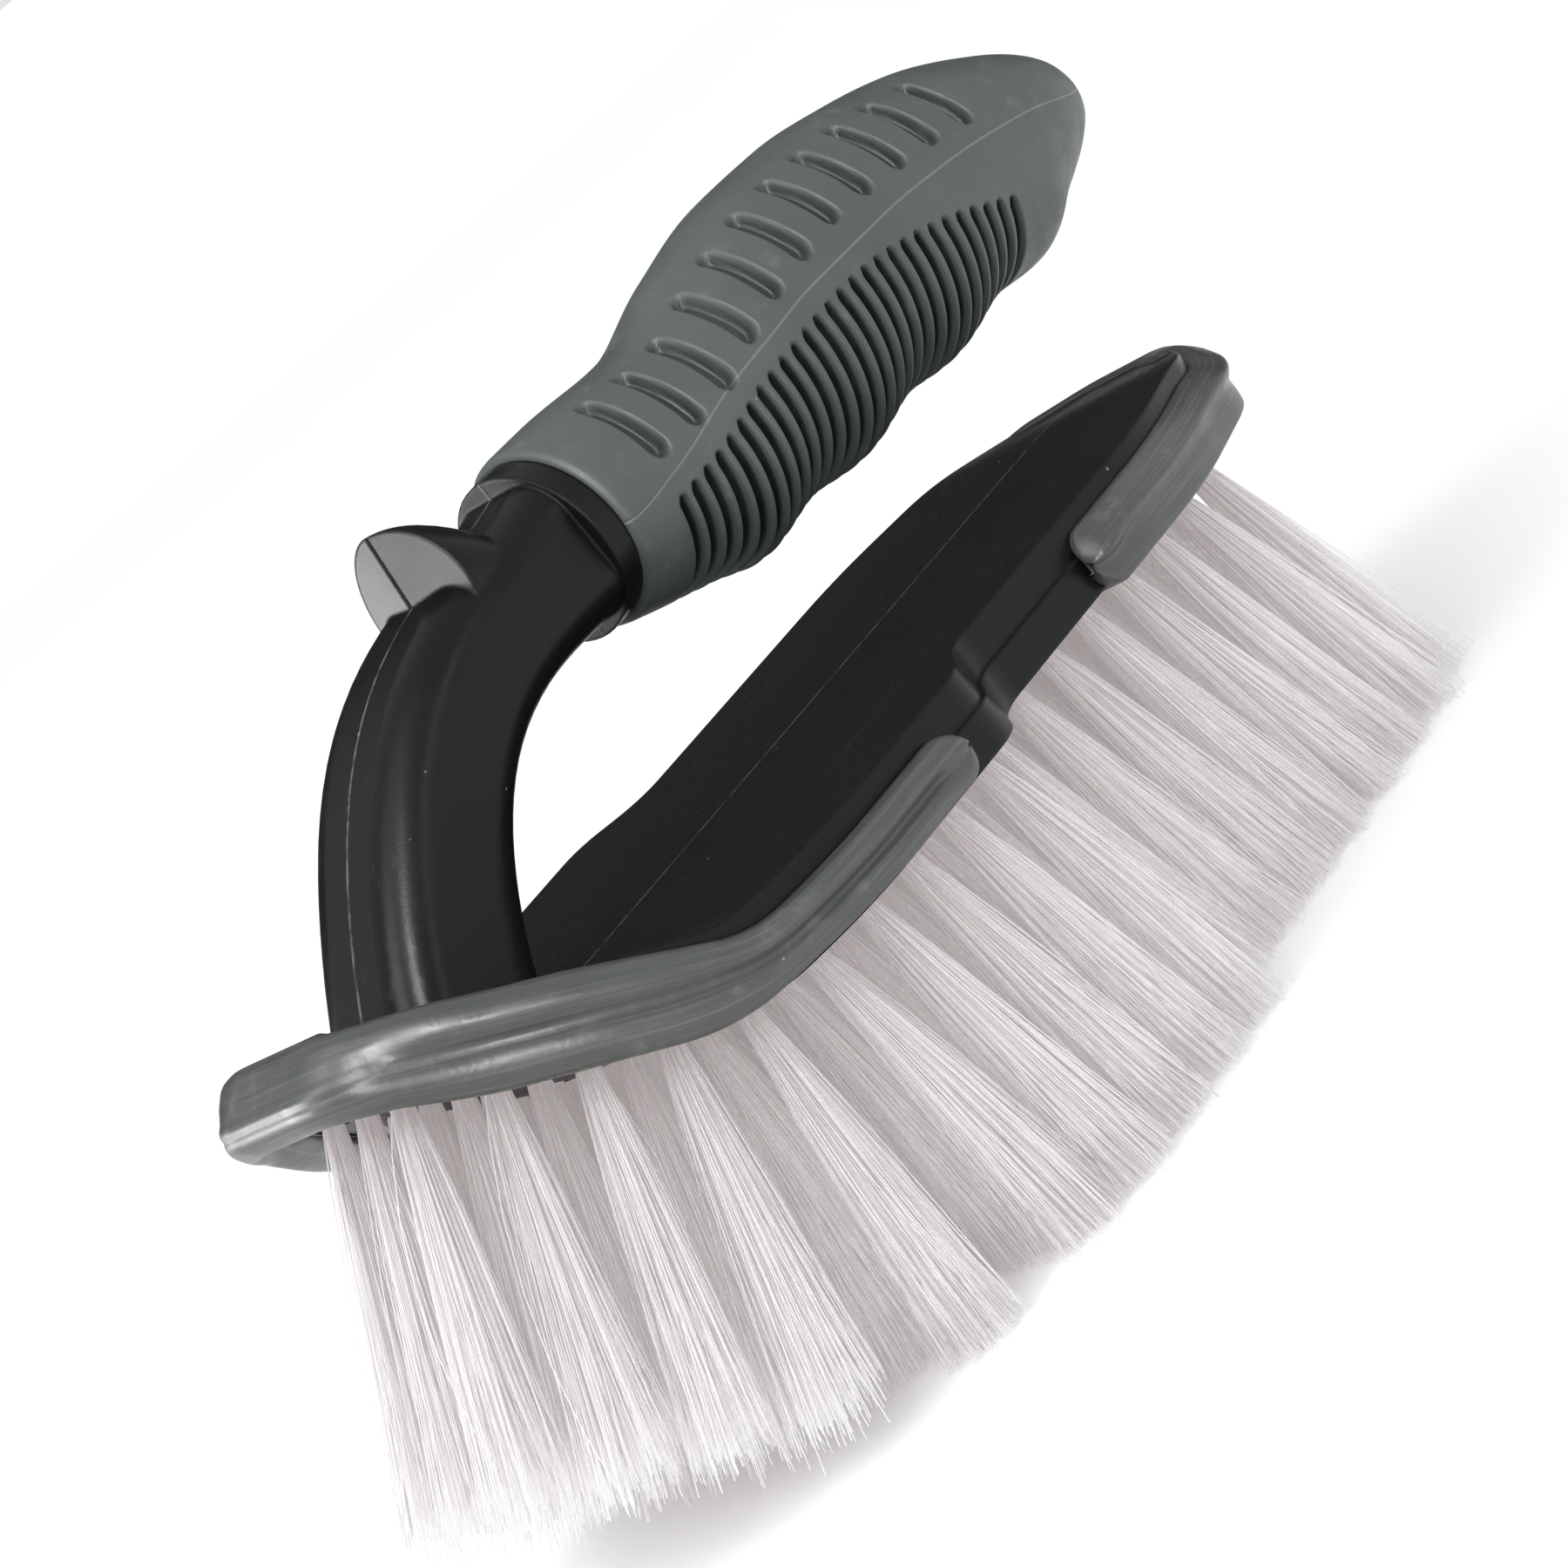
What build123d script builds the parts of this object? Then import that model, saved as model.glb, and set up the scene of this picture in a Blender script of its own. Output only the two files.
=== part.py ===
from build123d import *
import math
import os

os.makedirs("parts", exist_ok=True)

# ------------------------------------------------------------------ driving dimensions (mm)
# Frame: +X to the free end of the handle, +Z up, the brush stands on its bristle tips at z = 0.
# x = 0 is the front edge of the grip, y = 0 is the middle plane.
GRIP_AXIS_Z = 94.0          # height of the grip's centre line at its front edge
GRIP_LENGTH = 118.8         # front edge to free end
CORE_INSET = 3.0            # thickness of the rubber over the core
CORE_LENGTH = 108.0
FINGER_PITCH = 24.0         # finger scallops along the underside
FINGER_DEPTH = 0.75
FINGER_START = 23.0
FINGER_END = 97.0
GRIP_SECTION_STEP = 5.0

RIB_PITCH = 2.82            # grooves round the underside of the grip
RIB_GROOVE = 1.4
RIB_COUNT = 28
RIB_FIRST_X = 9.0

PALM_SLOT_COUNT = 11        # slots in each row beside the grip's spine
PALM_SLOT_FIRST_X = 11.3
PALM_SLOT_PITCH = 7.62
PALM_SLOT_DEPTH = 1.9
PALM_SLOT_ANGLE = 50.0      # middle of a slot, degrees down from the spine
PALM_SLOT_HALF = 5.0
PALM_SLOT_LOW_RADIUS = 1.5
PALM_SLOT_TOP_RADIUS = 1.0

COLLAR_LENGTH = 3.9
COLLAR_RADIUS = 12.4

DECK_Z = 56.0               # flat top of the block
BASE_Z = 45.5               # flat underside of the block
NOSE_ANGLE = 34.0           # upward turn of the nose, degrees
NOSE_BEND_X = -49.0         # where the underside starts to turn up
NOSE_BEND_RADIUS = 24.0
NOSE_DECK_ANGLE = 29.0      # the deck rises less, so that the nose is thinner
DECK_BEND_X = -46.0
DECK_BEND_RADIUS = 14.0
BLOCK_FRONT_X = -83.8
BLOCK_REAR_X = 95.0
SKIRT_HEIGHT = 5.4          # lower band of the block's side
SKIRT_STEP = 0.6
TAIL_DROP_X = 78.0          # the deck slopes down from here to the rear edge
TAIL_SLOPE = 0.16
TAIL_RADIUS = 60.0

BUMPER_OUT = 4.0            # how far the rubber stands out from the block
BUMPER_UNDER = 1.0          # how far it stands below the base
BUMPER_LAP = 3.4            # how far it reaches in under the base
BUMPER_ROUND = 1.8
BUMPER_END_ROUND = 3.0      # upright corners at the free ends
NOSE_RIM_LOW = (-52.0, 46.9, 32.0)  # lower line: x where it turns up, z before, angle
NOSE_RIM_TOP = (-44.0, 53.1, 34.0)  # upper line
REAR_BUMPER_TOP = -2.4      # top of the rubber against the deck
NOSE_BUMPER_END_X = -6.5
REAR_BUMPER_FRONT_X = 35.0

PLATE_INSET = 4.0           # tuft plate edge, in from the block's edge
PLATE_THICK = 7.5
PLATE_GAP = 0.15
PLATE_RECESS = 0.3

TUFT_ROW_PITCH = 9.1        # along the base
TUFT_PITCH = 8.4            # across the base
TUFT_ROWS = 18
TUFT_FIRST_DISTANCE = -81.9 # first row, along the base from x = 0
TUFT_ROOT_RADIUS = 1.35
TUFT_TIP_RADIUS = 3.9
TUFT_TRIM_ALLOWANCE = 6.0   # extra length trimmed off flat at z = 0
TUFT_HOLE_RADIUS = 1.9
TUFT_HOLE_DEPTH = 4.4
TUFT_EDGE_MARGIN = 2.9      # hole centre, in from the plate's edge
TUFT_SPLAY = 13.0           # sideways lean of a tuft at the plate's edge, degrees
PLATE_HALF = 33.0
FAN_CENTRE_X = 0.0
FAN_PER_MM = 0.1
FAN_NOSE = -4.0             # tufts under the nose lean less than square to the base
BRISTLE_LENGTH = BASE_Z
ANCHOR_THICK = 0.3
ANCHOR_HEIGHT = 1.3

# corners of one side of the block's planform: x, y, corner radius
PLANFORM_CORNERS = [
    (BLOCK_FRONT_X, 9.5, 9.0),
    (-61.0, 28.0, 60.0),
    (-32.0, 41.0, 40.0),
    (2.0, 41.0, 8.0),
    (9.5, 33.0, 10.0),
    (60.0, 32.5, 50.0),
    (82.0, 25.0, 16.0),
    (BLOCK_REAR_X, 7.0, 8.0),
]

# x and upper end (from the grip axis) of the grooves round the grip
RIB_TOP_STATIONS = [
    (8.0, -4.8),
    (19.0, -3.9),
    (31.0, -1.9),
    (50.5, -0.8),
    (59.5, -1.8),
    (70.5, -4.4),
    (87.0, -10.5),
]

# x, top and underside of the grip (from its axis height), half width
GRIP_STATIONS = [
    (0.0, 13.4, -13.4, 13.4),
    (9.0, 13.2, -16.2, 13.7),
    (25.0, 12.0, -20.2, 14.8),
    (41.0, 15.4, -20.8, 16.2),
    (55.0, 17.2, -21.0, 17.0),
    (69.0, 16.7, -21.0, 17.0),
    (82.0, 14.6, -21.1, 16.4),
    (94.0, 11.6, -20.8, 15.4),
    (105.5, 6.6, -17.6, 13.0),
    (113.4, 1.8, -14.6, 9.6),
    (117.2, -2.6, -12.2, 5.4),
    (GRIP_LENGTH, -6.0, -9.4, 1.8),
]

NECK_ROUND = 0.60           # corner radius as a share of the half size
HOOK_FRONT = (-23.6, 105.0) # x and z at the middle of the hook's front face
HOOK_FACE_TILT = 9.0        # the front face looks up by this, degrees
HOOK_FACE_TURN = 11.0       # each half of it turns away from the middle plane
HOOK_GROOVE_WIDTH = 0.7
HOOK_GROOVE_DEPTH = 0.6

# x, centre z, half height and half width of the hook
HOOK_STATIONS = [
    (-28.0, 101.0, 10.2, 10.2),
    (-20.8, 101.0, 10.2, 10.2),
    (-16.0, 98.8, 9.1, 9.6),
    (-12.2, 96.0, 7.4, 9.0),
    (-9.4, 94.0, 6.0, 8.2),
]

# centre x, centre z (from the grip axis), lean of the section from upright,
# half height and half width of the neck
NECK_STATIONS = [
    (-1.5, 0.0, 0.0, 10.5, 10.5),
    (-9.5, -0.5, 6.0, 9.5, 10.2),
    (-22.0, -1.2, 17.0, 9.1, 10.6),
    (-36.0, -5.4, 32.0, 9.2, 10.8),
    (-49.3, -15.1, 47.0, 9.7, 10.8),
    (-58.3, -25.4, 57.0, 10.4, 11.2),
    (-63.2, -32.9, 60.0, 10.6, 12.0),
]


# ------------------------------------------------------------------ formulas
def smooth_between(stations, x, column):
    """Cubic value of one column of a station list at x, without overshoot."""
    xs = [s[0] for s in stations]
    ys = [s[column] for s in stations]
    if x <= xs[0]:
        return ys[0]
    if x >= xs[-1]:
        return ys[-1]
    i = max(k for k in range(len(xs) - 1) if xs[k] <= x)
    slopes = [(ys[k + 1] - ys[k]) / (xs[k + 1] - xs[k]) for k in range(len(xs) - 1)]

    def tangent(k):
        if k == 0:
            return slopes[0]
        if k == len(xs) - 1:
            return slopes[-1]
        if slopes[k - 1] * slopes[k] <= 0:
            return 0.0
        return 2 * slopes[k - 1] * slopes[k] / (slopes[k - 1] + slopes[k])

    h = xs[i + 1] - xs[i]
    t = (x - xs[i]) / h
    start = (1 + 2 * t) * (1 - t) ** 2 * ys[i] + t * (1 - t) ** 2 * h * tangent(i)
    end = t * t * (3 - 2 * t) * ys[i + 1] + t * t * (t - 1) * h * tangent(i + 1)
    return start + end


def fade(x, low, high):
    """0 at low, 1 at high, with level ends."""
    t = min(1.0, max(0.0, (x - low) / (high - low)))
    return t * t * (3 - 2 * t)


def grip_top(x):
    return smooth_between(GRIP_STATIONS, x, 1)


def grip_bottom(x):
    ends = fade(x, FINGER_START - 10, FINGER_START) * (1 - fade(x, FINGER_END, FINGER_END + 8))
    wave = math.cos(2 * math.pi * (x - FINGER_START) / FINGER_PITCH)
    return smooth_between(GRIP_STATIONS, x, 2) - FINGER_DEPTH * wave * ends


def grip_section(x, inset):
    """Centre height, half height and half width of the grip at x."""
    top = grip_top(x)
    bottom = grip_bottom(x)
    half_width = smooth_between(GRIP_STATIONS, x, 3)
    return GRIP_AXIS_Z + (top + bottom) / 2, (top - bottom) / 2 - inset, half_width - inset


def base_point(distance):
    """x, z and lean of the base at a distance along it from x = 0 (negative to the nose)."""
    angle = math.radians(NOSE_ANGLE)
    tangent = NOSE_BEND_RADIUS * math.tan(angle / 2)
    flat_end = NOSE_BEND_X + tangent
    past = flat_end - distance
    if past <= 0:
        return distance, BASE_Z, 0.0
    if past < NOSE_BEND_RADIUS * angle:
        turn = past / NOSE_BEND_RADIUS
        x = flat_end - NOSE_BEND_RADIUS * math.sin(turn)
        return x, BASE_Z + NOSE_BEND_RADIUS * (1 - math.cos(turn)), math.degrees(turn)
    rest = past - NOSE_BEND_RADIUS * angle + tangent
    return NOSE_BEND_X - rest * math.cos(angle), BASE_Z + rest * math.sin(angle), NOSE_ANGLE


# ------------------------------------------------------------------ shared shapes
def outline_face():
    """The block's planform: pointed nose, shoulder, waist, round tail."""
    side = [(x, y) for x, y, radius in PLANFORM_CORNERS]
    face = make_face(Polyline(*side, *[(x, -y) for x, y in reversed(side)], close=True))
    for x, y, radius in PLANFORM_CORNERS:
        for sign in (-1, 1):
            vertex = face.vertices().sort_by_distance((x, sign * y, 0))[0]
            face = fillet(vertex, radius)
    return face


def planform_face(inset):
    if inset == 0:
        return OUTLINE
    return offset(OUTLINE, amount=-inset)


def profile_face(low, high):
    """Side view of the block between an offset from its base and one from its deck."""
    base_rise = math.tan(math.radians(NOSE_ANGLE))
    deck_rise = math.tan(math.radians(NOSE_DECK_ANGLE))
    front = BLOCK_FRONT_X - 12
    rear = BLOCK_REAR_X + 12
    low_z = BASE_Z + low
    high_z = DECK_Z + high
    low_bend = NOSE_BEND_X + low * math.tan(math.radians(NOSE_ANGLE) / 2)
    high_bend = DECK_BEND_X + high * math.tan(math.radians(NOSE_DECK_ANGLE) / 2)
    low_front = (front, low_z + (low_bend - front) * base_rise)
    high_front = (front, high_z + (high_bend - front) * deck_rise)
    tail_start = (TAIL_DROP_X, high_z)
    tail_end = (rear, high_z - TAIL_SLOPE * (rear - TAIL_DROP_X))
    corners = [low_front, (low_bend, low_z), (rear, low_z), tail_end, tail_start, (high_bend, high_z), high_front]
    face = make_face(Polyline(*corners, close=True))
    for corner, radius in [
        ((low_bend, low_z), NOSE_BEND_RADIUS - low),
        ((high_bend, high_z), max(2.0, DECK_BEND_RADIUS - high)),
        (tail_start, TAIL_RADIUS),
    ]:
        vertex = face.vertices().sort_by_distance((corner[0], corner[1], 0))[0]
        face = fillet(vertex, radius)
    return face


def block_shape(inset, low, high):
    """The block moved in by inset, between an offset from its base and one from its deck."""
    column = extrude(planform_face(inset), amount=180)
    slab = extrude(Plane.XZ * profile_face(low, high), amount=90, both=True)
    return column & slab


def grip_shape(inset, length):
    """The grip's outer shape, moved in by inset, from its front edge to length."""
    faces = []
    steps = math.ceil(length / GRIP_SECTION_STEP)
    for i in range(steps + 1):
        x = length * i / steps
        centre, half_height, half_width = grip_section(x, inset)
        plane = Plane(origin=(x, 0, centre), x_dir=(0, 1, 0), z_dir=(1, 0, 0))
        faces.append(plane * Ellipse(half_width, half_height))
    return loft(faces)


def x_slab(low, high):
    """A large box between two x values."""
    return Pos((low + high) / 2, 0, 90) * Box(high - low, 240, 240)


def nose_rim_face():
    """Side view of the nose rubber: thin along the block's side, tall round the nose."""
    front = BLOCK_FRONT_X - 12
    low_x, low_z, low_angle = NOSE_RIM_LOW
    top_x, top_z, top_angle = NOSE_RIM_TOP
    low_front = (front, low_z + (low_x - front) * math.tan(math.radians(low_angle)))
    top_front = (front, top_z + (top_x - front) * math.tan(math.radians(top_angle)))
    corners = [low_front, (low_x, low_z), (0.0, low_z), (0.0, top_z), (top_x, top_z), top_front]
    face = make_face(Polyline(*corners, close=True))
    for corner, radius in [((low_x, low_z), NOSE_BEND_RADIUS), ((top_x, top_z), DECK_BEND_RADIUS)]:
        vertex = face.vertices().sort_by_distance((corner[0], corner[1], 0))[0]
        face = fillet(vertex, radius)
    return face


def bumper_shape(side_view, front_x, rear_x):
    """A rubber rim round the block's side between two x values."""
    column = extrude(planform_face(-BUMPER_OUT), amount=180)
    rim = column & extrude(Plane.XZ * side_view, amount=90, both=True) & x_slab(front_x, rear_x)
    corners = [e for e in rim.edges().filter_by(Axis.Z) if e.center().X in (front_x, rear_x)]
    rim = fillet(corners, BUMPER_END_ROUND)
    rim = fillet(rim.edges(), BUMPER_ROUND)
    return rim - block_shape(BUMPER_LAP, -20, 20)


def hook_shape():
    """The horn on top of the neck: an arched wedge with a two-part front face."""
    faces = []
    for x, centre, half_height, half_width in HOOK_STATIONS:
        plane = Plane(origin=(x, 0, centre), x_dir=(0, 1, 0), z_dir=(1, 0, 0))
        faces.append(plane * Ellipse(half_width, half_height))
    hook = loft(faces)
    tilt = math.radians(HOOK_FACE_TILT)
    turn = math.radians(HOOK_FACE_TURN)
    front = Vector(HOOK_FRONT[0], 0, HOOK_FRONT[1])
    for side in (-1, 1):
        normal = Vector(-math.cos(tilt) * math.cos(turn), side * math.sin(turn), math.sin(tilt))
        hook = hook & Plane(origin=front, z_dir=normal) * Pos(0, 0, -40) * Box(120, 120, 80)
    middle = Plane(origin=front, x_dir=(0, 1, 0), z_dir=(-math.cos(tilt), 0, math.sin(tilt)))
    return hook - middle * Box(HOOK_GROOVE_WIDTH, 40, 2 * HOOK_GROOVE_DEPTH)


OUTLINE = outline_face()
HOOK = hook_shape()
BLOCK = block_shape(0, SKIRT_HEIGHT - 1, 0)
SKIRT = block_shape(-SKIRT_STEP, 0, SKIRT_HEIGHT - (DECK_Z - BASE_Z))
PLATE_POCKET = block_shape(PLATE_INSET - PLATE_GAP, -20, PLATE_THICK + PLATE_GAP - (DECK_Z - BASE_Z))
PLATE = block_shape(PLATE_INSET, PLATE_RECESS, PLATE_THICK - (DECK_Z - BASE_Z))
CORE = grip_shape(CORE_INSET, CORE_LENGTH)
GRIP = grip_shape(0, GRIP_LENGTH)
NOSE_RIM = bumper_shape(nose_rim_face(), BLOCK_FRONT_X - 20, NOSE_BUMPER_END_X)
REAR_FACE = profile_face(-BUMPER_UNDER, REAR_BUMPER_TOP)
REAR_RIM = bumper_shape(REAR_FACE, REAR_BUMPER_FRONT_X, BLOCK_REAR_X + 20)


# ------------------------------------------------------------------ body
with BuildPart() as body:
    add(BLOCK)
    add(SKIRT)
    for x, z, lean, half_height, half_width in NECK_STATIONS:
        normal = Vector(-math.cos(math.radians(lean)), 0, -math.sin(math.radians(lean)))
        with BuildSketch(Plane(origin=(x, 0, GRIP_AXIS_Z + z), x_dir=(0, 1, 0), z_dir=normal)):
            RectangleRounded(2 * half_width, 2 * half_height, min(half_width, half_height) * NECK_ROUND)
    loft()
    add(HOOK)
    with BuildSketch(Plane.YZ.offset(-COLLAR_LENGTH)):
        with Locations((0, GRIP_AXIS_Z)):
            Circle(COLLAR_RADIUS)
    extrude(amount=COLLAR_LENGTH)
    add(CORE)
    add(PLATE_POCKET, mode=Mode.SUBTRACT)
body.part.label = "body"
export_step(body.part, "parts/body.step")


# ------------------------------------------------------------------ rubber bumpers
with BuildPart() as nose_bumper:
    add(NOSE_RIM)
    add(BLOCK, mode=Mode.SUBTRACT)
    add(SKIRT, mode=Mode.SUBTRACT)
nose_bumper.part.label = "nose_bumper"
export_step(nose_bumper.part, "parts/nose_bumper.step")

with BuildPart() as rear_bumper:
    add(REAR_RIM)
    add(BLOCK, mode=Mode.SUBTRACT)
    add(SKIRT, mode=Mode.SUBTRACT)
rear_bumper.part.label = "rear_bumper"
export_step(rear_bumper.part, "parts/rear_bumper.step")


# ------------------------------------------------------------------ grip sleeve
def palm_slot_plane(x, side):
    """Plane on the grip's surface at the middle of a palm slot, local X along the grip."""
    centre, half_height, half_width = grip_section(x, 0)
    angle = math.radians(PALM_SLOT_ANGLE)
    point = Vector(x, side * half_width * math.sin(angle), centre + half_height * math.cos(angle))
    normal = Vector(0, side * math.sin(angle) / half_width, math.cos(angle) / half_height)
    return Plane(origin=point, x_dir=(side, 0, 0), z_dir=normal)


with BuildPart() as grip_sleeve:
    add(GRIP)
    add(CORE, mode=Mode.SUBTRACT)
    for i in range(RIB_COUNT):
        x = RIB_FIRST_X + i * RIB_PITCH
        top = GRIP_AXIS_Z + smooth_between(RIB_TOP_STATIONS, x, 1)
        with Locations((x, 0, top - 30)):
            Box(RIB_GROOVE, 60, 60, mode=Mode.SUBTRACT)
    for i in range(PALM_SLOT_COUNT):
        for side in (-1, 1):
            with BuildSketch(palm_slot_plane(PALM_SLOT_FIRST_X + i * PALM_SLOT_PITCH, side)):
                with Locations((0, -side * PALM_SLOT_HALF)):
                    Circle(PALM_SLOT_LOW_RADIUS)
                with Locations((0, side * PALM_SLOT_HALF)):
                    Circle(PALM_SLOT_TOP_RADIUS)
                make_hull()
            extrude(amount=PALM_SLOT_DEPTH, both=True, mode=Mode.SUBTRACT)
grip_sleeve.part.label = "grip_sleeve"
export_step(grip_sleeve.part, "parts/grip_sleeve.step")


# ------------------------------------------------------------------ tufts and their plate
def tuft_rows():
    """Planes of the tufts in each row: origin on the base, local Z along the tuft."""
    rows = []
    for k in range(TUFT_ROWS):
        distance = TUFT_FIRST_DISTANCE + k * TUFT_ROW_PITCH
        x, z, lean = base_point(distance)
        reach = plate_half_width(x) - TUFT_EDGE_MARGIN
        count = 2 * round(reach / TUFT_PITCH) + 1
        along = math.radians(lean + fan_lean(x))
        row = []
        for i in range(count):
            y = 0.0 if count == 1 else reach * (2 * i / (count - 1) - 1)
            across = math.radians(TUFT_SPLAY * y / PLATE_HALF)
            down = Vector(-math.sin(along) * math.cos(across), math.sin(across), -math.cos(along) * math.cos(across))
            row.append(Plane(origin=(x, y, z), x_dir=(0, 1, 0), z_dir=down))
        rows.append(row)
    return rows


def plate_half_width(x):
    """Half width of the tuft plate at x."""
    ray = Edge.make_line((x, 0, 0), (x, 80, 0))
    return (planform_face(PLATE_INSET) & ray).bounding_box().max.Y


def fan_lean(x):
    """Extra forward lean of the tufts in degrees; negative leans to the rear."""
    return FAN_PER_MM * (FAN_CENTRE_X - x) if x > NOSE_BEND_X else FAN_NOSE


ROWS = tuft_rows()

with BuildPart() as tuft_plate:
    add(PLATE)
    with Locations(*[plane.offset(PLATE_RECESS - TUFT_HOLE_DEPTH) for row in ROWS for plane in row]):
        Cylinder(
            TUFT_HOLE_RADIUS,
            TUFT_HOLE_DEPTH + 4,
            align=(Align.CENTER, Align.CENTER, Align.MIN),
            mode=Mode.SUBTRACT,
        )
tuft_plate.part.label = "tuft_plate"
export_step(tuft_plate.part, "parts/tuft_plate.step")

with BuildPart() as wire_anchors:
    with Locations(*[plane.offset(PLATE_RECESS - TUFT_HOLE_DEPTH + 0.02) for row in ROWS for plane in row]):
        Box(
            2 * TUFT_HOLE_RADIUS - 0.4,
            ANCHOR_THICK,
            ANCHOR_HEIGHT,
            align=(Align.CENTER, Align.CENTER, Align.MIN),
        )
wire_anchors.part.label = "wire_anchors"
export_step(wire_anchors.part, "parts/wire_anchors.step")

for number, row in enumerate(ROWS, start=1):
    name = f"tuft_row_{number:02d}"
    with BuildPart() as tufts:
        for plane in row:
            root = PLATE_RECESS - TUFT_HOLE_DEPTH + ANCHOR_HEIGHT + 0.1
            with Locations(plane.offset(root)):
                Cone(
                    TUFT_ROOT_RADIUS,
                    TUFT_TIP_RADIUS,
                    BRISTLE_LENGTH - root + TUFT_TRIM_ALLOWANCE * (plane.origin.Z < BASE_Z + 1),
                    align=(Align.CENTER, Align.CENTER, Align.MIN),
                )
        with Locations((0, 0, 0)):
            Box(400, 400, 200, align=(Align.CENTER, Align.CENTER, Align.MIN), mode=Mode.INTERSECT)
    tufts.part.label = name
    export_step(tufts.part, f"parts/{name}.step")
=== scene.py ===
import math

import bmesh
import bpy
import numpy as np
from mathutils import Matrix, Vector


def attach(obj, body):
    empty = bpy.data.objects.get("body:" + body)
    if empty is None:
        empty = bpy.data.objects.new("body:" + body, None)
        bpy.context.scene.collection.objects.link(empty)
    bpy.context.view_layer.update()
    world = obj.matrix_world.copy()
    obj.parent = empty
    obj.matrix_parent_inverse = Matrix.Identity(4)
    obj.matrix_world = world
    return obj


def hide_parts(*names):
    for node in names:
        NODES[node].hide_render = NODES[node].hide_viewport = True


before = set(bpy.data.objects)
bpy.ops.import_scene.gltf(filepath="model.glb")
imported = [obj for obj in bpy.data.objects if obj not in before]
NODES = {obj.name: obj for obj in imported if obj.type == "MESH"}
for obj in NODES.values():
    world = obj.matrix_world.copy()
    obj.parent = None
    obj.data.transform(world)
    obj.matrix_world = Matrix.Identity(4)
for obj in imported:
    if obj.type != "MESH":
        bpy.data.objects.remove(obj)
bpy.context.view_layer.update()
MM = 0.001


# ------------------------------------------------------------------ material helpers
class Look:
    """A material on the Principled shader, with short ways to add and join nodes."""

    def __init__(self, name, color, roughness, **sockets):
        self.material = bpy.data.materials.new(name)
        self.material.use_nodes = True
        self.tree = self.material.node_tree
        self.shader = self.tree.nodes["Principled BSDF"]
        self.shader.inputs["Base Color"].default_value = (*color, 1)
        self.shader.inputs["Roughness"].default_value = roughness
        for socket, value in sockets.items():
            self.shader.inputs[socket.replace("_", " ")].default_value = value
        coordinates = self.tree.nodes.new("ShaderNodeTexCoord")
        self.point = coordinates.outputs["Object"]

    def join(self, value, socket):
        if isinstance(value, bpy.types.NodeSocket):
            self.tree.links.new(value, socket)
        elif hasattr(value, "__len__") and len(value) == 3 and socket.type == "RGBA":
            socket.default_value = (*value, 1)
        else:
            socket.default_value = value

    def math(self, operation, a, b=0.0):
        node = self.tree.nodes.new("ShaderNodeMath")
        node.operation = operation
        for value, socket in zip((a, b), node.inputs):
            self.join(value, socket)
        return node.outputs[0]

    def mix(self, factor, a, b):
        node = self.tree.nodes.new("ShaderNodeMix")
        node.data_type = "RGBA"
        self.join(factor, node.inputs[0])
        self.join(a, node.inputs[6])
        self.join(b, node.inputs[7])
        return node.outputs[2]

    def ramp(self, value, low, high, start=0.0, end=1.0):
        """value taken from low..high to start..end with smooth ends."""
        node = self.tree.nodes.new("ShaderNodeMapRange")
        node.interpolation_type = "SMOOTHSTEP"
        for item, socket in zip((value, low, high, start, end), node.inputs):
            self.join(item, socket)
        return node.outputs[0]

    def stretched(self, scale):
        node = self.tree.nodes.new("ShaderNodeMapping")
        self.join(self.point, node.inputs["Vector"])
        node.inputs["Scale"].default_value = scale
        return node.outputs[0]

    def noise(self, scale, detail=3.0, vector=None, roughness=0.55):
        node = self.tree.nodes.new("ShaderNodeTexNoise")
        self.join(vector or self.point, node.inputs["Vector"])
        node.inputs["Scale"].default_value = scale
        node.inputs["Detail"].default_value = detail
        node.inputs["Roughness"].default_value = roughness
        return node.outputs["Fac"]

    def specks(self, scale, size, share):
        """Sparse round dots: size in cell units, share of the cells that have one."""
        cells = self.tree.nodes.new("ShaderNodeTexVoronoi")
        self.join(self.point, cells.inputs["Vector"])
        cells.inputs["Scale"].default_value = scale
        parts = self.tree.nodes.new("ShaderNodeSeparateColor")
        self.join(cells.outputs["Color"], parts.inputs[0])
        near = self.ramp(cells.outputs["Distance"], size, size * 0.5)
        return self.math("MULTIPLY", near, self.math("LESS_THAN", parts.outputs[0], share))

    def attribute(self, name):
        node = self.tree.nodes.new("ShaderNodeAttribute")
        node.attribute_name = name
        return node.outputs["Fac"]

    def axis(self, index):
        node = self.tree.nodes.new("ShaderNodeSeparateXYZ")
        self.join(self.point, node.inputs[0])
        return node.outputs[index]

    def bump(self, height, distance, strength=1.0, soft_edge=0.0):
        node = self.tree.nodes.new("ShaderNodeBump")
        node.inputs["Strength"].default_value = strength
        node.inputs["Distance"].default_value = distance
        self.join(height, node.inputs["Height"])
        if soft_edge:
            bevel = self.tree.nodes.new("ShaderNodeBevel")
            bevel.samples = 6
            bevel.inputs["Radius"].default_value = soft_edge
            self.join(bevel.outputs[0], node.inputs["Normal"])
        self.join(node.outputs[0], self.shader.inputs["Normal"])

    def color(self, value):
        self.join(value, self.shader.inputs["Base Color"])

    def roughness(self, value):
        self.join(value, self.shader.inputs["Roughness"])


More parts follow.
